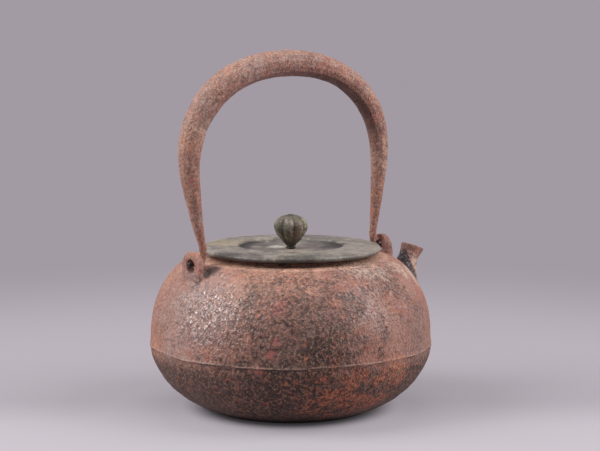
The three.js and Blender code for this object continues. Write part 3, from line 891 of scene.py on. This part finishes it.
def rusted_casting():
    """Cast iron with a wrinkled skin: red-brown rust, orange bloom, grey iron, soot low in front, and
    painted light and shade.
    """
    material, tree, shade, position = new_material("rusted_casting")
    level = axes_of(tree, position)["Z"]
    wobble = ragged(tree, position, *POT_EDGES)
    seam_lip, seam_shade = seam_line(tree, maths(tree, "ADD", level, ragged(tree, position, *SEAM_WAVER)))
    broken = patches(tree, position, *SEAM_BREAKS)

    # Where the skin is sooty or painted with shade, glossy, smoother or rough
    low = between(tree, level, *SOOT_LEVELS)
    soot_and_shade = either(tree, weaker(tree, low, LOW_SOOT), stains(tree, position, wobble, SOOT_AND_SHADE_PLACES))
    glossy = stains(tree, position, wobble, GLOSSY_PLACES)
    sparkle = stains(tree, position, wobble, SPARKLES)
    smoother = either(tree, glossy, stains(tree, position, wobble, SMOOTHER_PLACES))
    grains = mixed(tree, smoother, grain(tree, position, POT_GRAIN), grain(tree, position, SMOOTHER_GRAIN))
    wild = either(tree, glossy, stains(tree, position, wobble, ROUGH_PLACES), low)
    strength = ranged(tree, wild, CALM_GRAIN, 1.0)
    share = overlap(tree, ranged(tree, wild, CALM_SPECKS, 1.0), ranged(tree, glossy, 1.0, GLOSSY_SPECKS))

    colour = pot_rust(tree, position, wobble, level, wild, share)
    colour = pot_soot(tree, position, wobble, soot_and_shade, colour)
    colour = pot_grains(tree, grains, strength, share, soot_and_shade, sparkle, colour)
    # Painted shade low at the foot and under the seam's lip, and the lip's tan
    colour = lay(tree, colour, SOOT_AND_PAINTED_SHADE, between(tree, level, *FOOT_LEVELS), 0.75)
    colour = lay(tree, colour, SOOT_AND_PAINTED_SHADE, overlap(tree, seam_shade, broken), 0.75)
    colour = lay(tree, colour, RUST_TAN, overlap(tree, seam_lip, broken), 0.4)

    sheen = either(tree, glossy, stains(tree, position, wobble, SHEEN_PLACES))
    shine = overlap(tree, ranged(tree, sheen, 1.0, SHEEN_SHARE), ranged(tree, sparkle, 1.0, SPARKLE_SHARE))
    dull = ranged(tree, patches(tree, position, *POT_DULL), *POT_ROUGHNESS)
    rough = either(tree, overlap(tree, dull, shine), weaker(tree, soot_and_shade, SOOT_ROUGHNESS))
    fine = fine_noise(tree, position, *FINE_NOISE)
    fine = overlap(tree, fine, ranged(tree, smoother, 1.0, SMOOTHER_FINE))
    under = bump(tree, overlap(tree, grains, strength), *GRAIN_RELIEF)
    under = bump(tree, fine, *FINE_RELIEF, under)
    finished(tree, shade, colour, rough, bump(tree, seam_lip, *SEAM_RELIEF, under))
    return material


# Patterns, clouds and specks on the forging, as on the casting
HANDLE_PATTERN = (18, 0.38, 0.62, 21.0)
HANDLE_DULL = (6, 0.4, 0.6, 33.0)
HANDLE_CLOUDS = (
    (12.0, 0.48, 0.66, 24.0, RUST_ORANGE, 0.6),
    (8.0, 0.48, 0.66, 27.0, IRON_LILAC_AND_PAINTED_SHEEN, 0.7),
)
HANDLE_SPECKS = (
    (8.0, 0.50, 0.57, 88.0, RUST_RED, 0.70),
    (4.5, 0.49, 0.60, 96.0, RUST_DARK, 0.50),
    (1.6, 0.47, 0.57, 97.0, IRON_LILAC_AND_PAINTED_SHEEN, 0.42),
    (1.5, 0.54, 0.62, 98.0, RUST_TAN, 0.52),
    (2.4, 0.54, 0.62, 87.0, RUST_ORANGE, 0.35),
    (1.7, 0.51, 0.59, 99.0, RUST_DARK, 0.55),
)

# Patches on the handle: place and radius in millimetres, colour, strength
HANDLE_PATCHES = (
    ((-58, -3, 190), 15, RUST_ORANGE, 0.25),
    ((-64, -8, 182), 8, IRON_LILAC_AND_PAINTED_SHEEN, 0.6),
    ((-50, -7, 186), 12, DARK_RED, 0.5),
    ((-34, -7, 198), 10, IRON_LILAC_AND_PAINTED_SHEEN, 0.6),
    ((-69, -5, 174), 10, DARK_RED, 0.45),
    # A painted highlight on the leg over the rear lug
    ((-65, -8, 165), 9, PAINTED_HIGHLIGHT, 0.5),
    ((-73, -4, 150), 12, RUST_RED, 0.5),
    ((0, -6, 203), 15, DARK_RED, 0.25),
    ((12, -8, 200), 12, DARK_RED, 0.35),
    ((-46, -6, 196), 11, RUST_BROWN, 0.5),
    ((44, -5, 182), 16, RUST_TAN, 0.3),
    ((-71, -6, 134), 9, RUST_ORANGE, 0.6),
    ((-71, -4, 160), 8, RUST_ORANGE, 0.5),
    ((-18, -7, 203), 8, DARK_RED, 0.35),
    ((60, -4, 150), 12, RUST_RED, 0.25),
    ((64, -6, 145), 18, RUST_TAN, 0.6),
    ((61, -4, 120), 14, RUST_ORANGE, 0.35),
)

# Painted shade on the hooks' ends in the lugs' holes
HANDLE_SHADES = (
    ((-68.5, 0, 89), 5, SOOT_AND_PAINTED_SHADE, 0.95),
    ((68.5, 0, 89), 5, SOOT_AND_PAINTED_SHADE, 0.95),
)

# A point inside the arch, which its inner side faces
ARCH_CENTRE = (-1 * MM, 0, 140 * MM)

# The arch's sides, olive outside and painted shade inside: how squarely each faces in, then lengths along X
# and levels in millimetres
OUTER_FACING = (-0.1, -0.8)
RED_FACING = (0.15, 0.8)
RED_LENGTHS = (-70, -15)
RED_LEVELS = (115, 160)
DARK_FACING = (0.45, 0.9)
DARK_LENGTHS = (-5, 22)
DARK_LEVELS = (145, 172)

# The forging's ragged edges, less ragged along the arch and in the painted shade, then its grains,
# roughness and relief, as on the casting
HANDLE_EDGES = (7, 3.0)
ARCH_WOBBLE = 0.25
HANDLE_SHADE_WOBBLE = 0.2
HANDLE_GRAIN = 0.9
HANDLE_PITS = (0.44, 0.12)
HANDLE_ROUGHNESS = (0.5, 0.72)
HANDLE_RELIEF = (0.25, 0.8)
HANDLE_FINE_RELIEF = (0.2, 0.5)
HANDLE_FINE_NOISE = (0.6, 3.0)


def facing_in(tree, position):
    """How far the handle's surface faces the inside of its arch: 1 straight at it, -1 straight away."""
    facing = tree.nodes.new("ShaderNodeTexCoord").outputs["Normal"]
    inwards = vector_maths(tree, "SUBTRACT", ARCH_CENTRE, position).outputs[0]
    level = vector_maths(tree, "MULTIPLY", inwards, (1, 0, 1)).outputs[0]
    level = put(tree, "ShaderNodeVectorMath", {0: level}, operation="NORMALIZE").outputs[0]
    return vector_maths(tree, "DOT_PRODUCT", facing, level).outputs["Value"]


def arch_sides(tree, position, wobble, colour):
    """The arch: olive outside, and painted shade inside, dark red towards the rear and almost black by the
    spout.
    """
    facing = maths(tree, "ADD", facing_in(tree, position), weaker(tree, wobble, ARCH_WOBBLE))
    axes = axes_of(tree, position)
    colour = lay(tree, colour, HANDLE_OLIVE, spread(tree, facing, *OUTER_FACING), 0.18)
    shaded_red = overlap(
        tree,
        spread(tree, facing, *RED_FACING),
        between(tree, axes["X"], *RED_LENGTHS),
        between(tree, axes["Z"], *RED_LEVELS),
    )
    colour = lay(tree, colour, DARK_RED, shaded_red, 0.45)
    painted_shade = overlap(
        tree,
        spread(tree, facing, *DARK_FACING),
        between(tree, axes["X"], *DARK_LENGTHS),
        between(tree, axes["Z"], *DARK_LEVELS),
    )
    return lay(tree, colour, IRON_DARK_AND_PAINTED_SHADE, painted_shade, 0.72)


def rusted_forging():
    """Forged iron with finer rust: red-brown, orange and grey, with painted shade in its pits, arch and
    hook ends.
    """
    material, tree, shade, position = new_material("rusted_forging")
    wobble = ragged(tree, position, *HANDLE_EDGES)
    grains = grain(tree, position, HANDLE_GRAIN)
    shades = (RUST_BROWN, RUST_RED)
    colour = patchy(tree, position, wobble, HANDLE_PATTERN, shades, HANDLE_CLOUDS, HANDLE_PATCHES)
    colour = specked(tree, position, colour, HANDLE_SPECKS)
    colour = arch_sides(tree, position, wobble, colour)
    # Painted shade in the grains' pits
    colour = lay(tree, colour, SOOT_AND_PAINTED_SHADE, spread(tree, grains, *HANDLE_PITS), 0.4)
    # Painted shade on the hooks' ends in the lugs' holes
    edges = weaker(tree, wobble, HANDLE_SHADE_WOBBLE)
    colour = stained(tree, position, edges, colour, HANDLE_SHADES)
    rough = ranged(tree, patches(tree, position, *HANDLE_DULL), *HANDLE_ROUGHNESS)
    under = bump(tree, grains, *HANDLE_RELIEF)
    fine = fine_noise(tree, position, *HANDLE_FINE_NOISE)
    finished(tree, shade, colour, rough, bump(tree, fine, *HANDLE_FINE_RELIEF, under))
    return material


# Colours of the lid's bronze

LID_GREY = (0.155, 0.133, 0.108, 1)
LID_PALE = (0.26, 0.226, 0.19, 1)
LID_GREEN = (0.145, 0.145, 0.11, 1)
LID_DARK = (0.03, 0.025, 0.022, 1)
LID_OCHRE = (0.27, 0.215, 0.135, 1)
LID_PINK = (0.34, 0.262, 0.235, 1)
LID_SLATE = (0.085, 0.075, 0.067, 1)
LID_CREAM = (0.44, 0.37, 0.29, 1)
LID_CHALK = (0.55, 0.54, 0.45, 1)

# Patterns and clouds on the lid, as on the casting
LID_PATTERN = (15, 0.46, 0.55, 51.0)
LID_PITS = (2.4, 0.53, 0.63, 60.0, 4.0)
LID_DULL = (8, 0.36, 0.64, 63.0)
LID_RIPPLE = (7, 0.2, 0.8, 66.0, 3.0)
LID_CLOUDS = (
    (9.0, 0.49, 0.57, 54.0, LID_GREEN, 0.7),
    (7.0, 0.51, 0.57, 57.0, LID_SLATE, 0.75),
    (4.0, 0.53, 0.59, 58.0, LID_PALE, 0.6),
)

# Patches on the lid: place and radius in millimetres, colour, strength
LID_PATCHES = (
    ((-30, 38, 95), 20, LID_OCHRE, 0.6),
    ((22, -40, 95), 22, LID_PALE, 0.6),
    ((-44, -8, 95), 13, LID_PALE, 0.5),
    ((36, 24, 95), 19, LID_SLATE, 0.5),
    # Dark places along the rim
    ((-51, -11, 93), 11, LID_DARK, 0.7),
    ((-46, -26, 92.5), 11, LID_SLATE, 0.8),
    ((-26, -46, 92.5), 10, LID_DARK, 0.7),
    ((4, -53, 92.5), 6, LID_SLATE, 0.7),
)

# Patches in the lid's recess: dark at both ends, pale and pink round the knob
RECESS_PATCHES = (
    ((4, 2, 93), 26, LID_SLATE, 0.3),
    ((6, 4, 93), 18, LID_PINK, 0.4),
    ((-4, -10, 93), 9, LID_CREAM, 0.7),
    ((-7, 24, 93), 12, LID_SLATE, 0.8),
    ((18, 6, 93), 9, LID_SLATE, 0.6),
    ((-20, 22, 94), 9, LID_DARK, 0.95),
    ((27, -6, 94), 9, LID_DARK, 0.95),
    ((-12.5, 17.5, 93), 4, LID_PINK, 0.8),
    ((-3.5, 10.5, 93), 5, LID_CHALK, 0.9),
    ((-15.5, -1, 93), 4, LID_GREEN, 0.9),
)

# The recess in millimetres: its ends from side to side, and its wall and edge from the axis. Then how dark
# its wall is, and how much darker at the ends.
RECESS_ENDS = (14, 24)
RECESS_WALL = (26.5, 29.5)
RECESS_EDGE = (30.6, 30.0)
WALL_DARK = 0.42
ENDS_DARKER = 0.5

# The shaded side of the rim, above the lid's seat
RIM_SHADE = (LID_SEAT + 2.6 * MM, LID_SEAT + 0.8 * MM)

# The lid's ragged edges, metal, roughness and relief, as on the casting
LID_EDGES = (9, 3.4)
LID_METALLIC = 0.15
LID_ROUGHNESS = (0.38, 0.58)
LID_RELIEF = (0.7, 0.6)
LID_FINE_RELIEF = (0.15, 0.5)
LID_FINE_NOISE = (1.0, 4.0)


def recess(tree, position, wobble, colour):
    """The lid's round recess: its own patches on the floor, and a dark wall, darkest at both ends."""
    reach = from_axis(tree, position)
    floor = stained(tree, position, wobble, colour, RECESS_PATCHES)
    ends = between(tree, maths(tree, "ABSOLUTE", along(tree, position, SIDEWAYS)), *RECESS_ENDS)
    depth = maths(tree, "ADD", weaker(tree, ends, ENDS_DARKER), WALL_DARK)
    floor = lay(tree, floor, LID_DARK, between(tree, reach, *RECESS_WALL), depth)
    return blend(tree, between(tree, reach, *RECESS_EDGE), colour, floor)


def worn_lid():
    """Cast bronze with a dull grey patina in streaks, dark along its rim and in the recess."""
    material, tree, shade, position = new_material("lid_patina")
    level = axes_of(tree, position)["Z"]
    wobble = ragged(tree, position, *LID_EDGES)
    shades = (LID_GREY, LID_PALE)
    colour = patchy(tree, position, wobble, LID_PATTERN, shades, LID_CLOUDS, LID_PATCHES)
    colour = recess(tree, position, wobble, colour)
    colour = lay(tree, colour, LID_DARK, spread(tree, level, *RIM_SHADE), 0.3)
    colour = lay(tree, colour, LID_DARK, patches(tree, position, *LID_PITS), 0.45)
    shade.inputs["Metallic"].default_value = LID_METALLIC
    rough = ranged(tree, patches(tree, position, *LID_DULL), *LID_ROUGHNESS)
    under = bump(tree, patches(tree, position, *LID_RIPPLE), *LID_RELIEF)
    fine = fine_noise(tree, position, *LID_FINE_NOISE)
    finished(tree, shade, colour, rough, bump(tree, fine, *LID_FINE_RELIEF, under))
    return material


# Colours of the knob's bronze

KNOB_OLIVE = (0.125, 0.10, 0.072, 1)
KNOB_WORN = (0.235, 0.19, 0.15, 1)
KNOB_GREEN = (0.075, 0.085, 0.05, 1)
KNOB_PINK = (0.25, 0.15, 0.11, 1)
KNOB_LIME = (0.29, 0.28, 0.17, 1)
KNOB_DARK = (0.022, 0.022, 0.015, 1)

# Patterns and clouds on the knob, as on the casting
KNOB_PATTERN = (5, 0.42, 0.60, 71.0)
KNOB_PITS = (1.2, 0.52, 0.64, 77.0, 3.0)
KNOB_DULL = (4, 0.4, 0.6, 80.0)
KNOB_LUMPS = (2.2, 0.3, 0.7, 82.0, 2.0)
KNOB_CLOUDS = (
    (4.0, 0.50, 0.66, 74.0, KNOB_GREEN, 0.7),
)

# Patches on the knob: place and radius in millimetres, colour, strength
KNOB_PATCHES = (
    ((0, -9, 107), 4, KNOB_PINK, 0.3),
    ((-1, -8, 102), 3.5, KNOB_PINK, 0.5),
    ((5.6, -7.4, 109.1), 3.2, KNOB_LIME, 0.8),
    ((3.9, -6.8, 101.6), 2.4, KNOB_LIME, 0.7),
    ((-4.7, -7.8, 108.7), 2.2, KNOB_WORN, 0.7),
    ((-9, -3, 105), 4.5, KNOB_GREEN, 0.6),
    ((0, 0, 113), 4, KNOB_DARK, 0.7),
    ((8.5, -2, 109), 4, KNOB_LIME, 0.6),
)

# The knob's lobes, the dark grooves between them and its dark foot
KNOB_LOBES = 8
KNOB_GROOVES = (0.5, 0.05)
GROOVE_WOBBLE = 0.22
KNOB_FOOT = (LID_SEAT + 10 * MM, LID_SEAT + 4 * MM)

# The knob's ragged edges, metal, roughness and relief, as on the casting
KNOB_EDGES = (3, 3.0)
KNOB_METALLIC = 0.1
KNOB_ROUGHNESS = (0.48, 0.68)
KNOB_RELIEF = (0.5, 0.7)
KNOB_FINE_RELIEF = (0.3, 0.6)
KNOB_FINE_NOISE = (0.9, 4.0)


def knob_grooves(tree, position, wobble):
    """A mask of the grooves between the knob's lobes."""
    axes = axes_of(tree, position)
    turn = maths(tree, "ARCTAN2", axes["Y"], axes["X"])
    turn = maths(tree, "ADD", turn, weaker(tree, wobble, GROOVE_WOBBLE))
    lobe = maths(tree, "ABSOLUTE", maths(tree, "COSINE", weaker(tree, turn, KNOB_LOBES / 2)))
    return spread(tree, lobe, *KNOB_GROOVES)


def dark_knob():
    """Cast bronze gone olive-brown, dark in its grooves and at its foot, and worn paler on its lobes."""
    material, tree, shade, position = new_material("knob_patina")
    level = axes_of(tree, position)["Z"]
    wobble = ragged(tree, position, *KNOB_EDGES)
    shades = (KNOB_OLIVE, KNOB_WORN)
    colour = patchy(tree, position, wobble, KNOB_PATTERN, shades, KNOB_CLOUDS, KNOB_PATCHES)
    colour = lay(tree, colour, KNOB_DARK, knob_grooves(tree, position, wobble), 0.6)
    colour = lay(tree, colour, KNOB_DARK, patches(tree, position, *KNOB_PITS), 0.55)
    colour = lay(tree, colour, KNOB_DARK, spread(tree, level, *KNOB_FOOT), 0.85)
    shade.inputs["Metallic"].default_value = KNOB_METALLIC
    rough = ranged(tree, patches(tree, position, *KNOB_DULL), *KNOB_ROUGHNESS)
    under = bump(tree, patches(tree, position, *KNOB_LUMPS), *KNOB_RELIEF)
    fine = fine_noise(tree, position, *KNOB_FINE_NOISE)
    finished(tree, shade, colour, rough, bump(tree, fine, *KNOB_FINE_RELIEF, under))
    return material


# Pieces

# The skins: sizes and depths of their grains and waves, and the pot's step below its seam
POT_SKIN = {
    "Grain Size": 2.8 * MM,
    "Grain Depth": 0.16 * MM,
    "Wave Size": 15 * MM,
    "Wave Depth": 0.9 * MM,
    "Step Level": SEAM_HEIGHT,
    "Step Depth": 0.2 * MM,
    "Calm Below": 0.3 * MM,
}
HANDLE_SKIN = {
    "Grain Size": 2.4 * MM,
    "Grain Depth": 0.12 * MM,
    "Wave Size": 9 * MM,
    "Wave Depth": 0.7 * MM,
    "Sink": 0.05 * MM,
}
LID_SKIN = {
    "Grain Size": 2.0 * MM,
    "Grain Depth": 0.03 * MM,
    "Wave Size": 14 * MM,
    "Wave Depth": 0.3 * MM,
}
KNOB_SKIN = dict(LID_SKIN, **{"Wave Size": 4 * MM, "Wave Depth": 0.5 * MM, "Grain Depth": 0.08 * MM})
SMALL_SKIN = dict(LID_SKIN, **{"Wave Depth": 0.0})

# How each piece is resurfaced: the finer mesh's step, the rounds of smoothing at one strength, and the skin
SMOOTHING = 0.5
RESURFACED = {
    "kettle_body": (0.7 * MM, 2, POT_SKIN),
    "forged_handle": (0.45 * MM, 3, HANDLE_SKIN),
    "lid_plate": (0.5 * MM, 1, LID_SKIN),
    "knob": (0.25 * MM, 2, KNOB_SKIN),
    "knob_washer": (0.15 * MM, 1, SMALL_SKIN),
    "knob_rivet": (0.2 * MM, 1, SMALL_SKIN),
    "rivet_washer": (0.15 * MM, 1, SMALL_SKIN),
}

# The plug that joins a hook to the bow: its radius, half height, rise above the hook's top, and sides
COLLAR_RADIUS = 2.35 * MM
COLLAR_HALF = 1.2 * MM
COLLAR_RISE = 0.15 * MM
COLLAR_SIDES = 12


def resurface(piece, step, rounds, skin):
    """Gives a piece a finer mesh with soft edges, and its rough skin."""
    remesh = piece.modifiers.new("finer_mesh", "REMESH")
    remesh.mode = "VOXEL"
    remesh.voxel_size = step
    remesh.use_smooth_shade = True
    smooth = piece.modifiers.new("soft_edges", "SMOOTH")
    smooth.factor = SMOOTHING
    smooth.iterations = rounds
    rough = piece.modifiers.new("rough_skin", "NODES")
    rough.node_group = SKIN
    for item in SKIN.interface.items_tree:
        if item.in_out == "INPUT" and item.name in skin:
            rough[item.identifier] = skin[item.name]


def dress(name, material):
    """Gives a node of the model its finish and its rough skin."""
    piece = nodes[name]
    piece.data.materials.clear()
    piece.data.materials.append(material)
    resurface(piece, *RESURFACED[name])


def collar(side):
    """A short plug that fills the gap between a hook and the bow, as corners and faces."""
    low, high = HOOKS[side]
    inner = high.x - COLLAR_RADIUS if side < 0 else low.x + COLLAR_RADIUS
    middle = high.z + COLLAR_RISE
    count = COLLAR_SIDES
    corners = []
    for height in (middle - COLLAR_HALF, middle + COLLAR_HALF):
        for i in range(count):
            angle = 2 * math.pi * i / count
            x = inner + COLLAR_RADIUS * math.cos(angle)
            corners.append((x, COLLAR_RADIUS * math.sin(angle), height))
    faces = [tuple(reversed(range(count))), tuple(range(count, 2 * count))]
    faces += [(i, (i + 1) % count, count + (i + 1) % count, count + i) for i in range(count)]
    return corners, faces


def joined(parts):
    """Several sets of corners and faces as one."""
    corners, faces = [], []
    for part_corners, part_faces in parts:
        first = len(corners)
        corners += part_corners
        faces += [tuple(first + i for i in face) for face in part_faces]
    return corners, faces


def make_handle(iron):
    """The bow and its two hooks as one forging, in place of the model's three nodes."""
    parts = []
    for name in ("handle_bow", "hook_rear", "hook_front"):
        mesh = nodes[name].data
        parts.append(([tuple(v.co) for v in mesh.vertices], [tuple(p.vertices) for p in mesh.polygons]))
    parts += [collar(-1), collar(1)]
    corners, faces = joined(parts)
    mesh = bpy.data.meshes.new("forged_handle")
    mesh.from_pydata(corners, [], faces)
    mesh.materials.append(iron)
    handle = bpy.data.objects.new("forged_handle", mesh)
    bpy.context.scene.collection.objects.link(handle)
    resurface(handle, *RESURFACED["forged_handle"])
    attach(handle, "handle")
    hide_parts("handle_bow", "hook_rear", "hook_front")


def dress_lid(lid_bronze, knob_bronze):
    """The lid, the knob on it, and the knob's small parts."""
    dress("lid_plate", lid_bronze)
    dress("knob", knob_bronze)
    dress("knob_washer", knob_bronze)
    dress("knob_rivet", knob_bronze)
    dress("rivet_washer", lid_bronze)


make_camera()
make_light()
make_room()
make_floor()

dress("kettle_body", rusted_casting())
make_handle(rusted_forging())
dress_lid(worn_lid(), dark_knob())
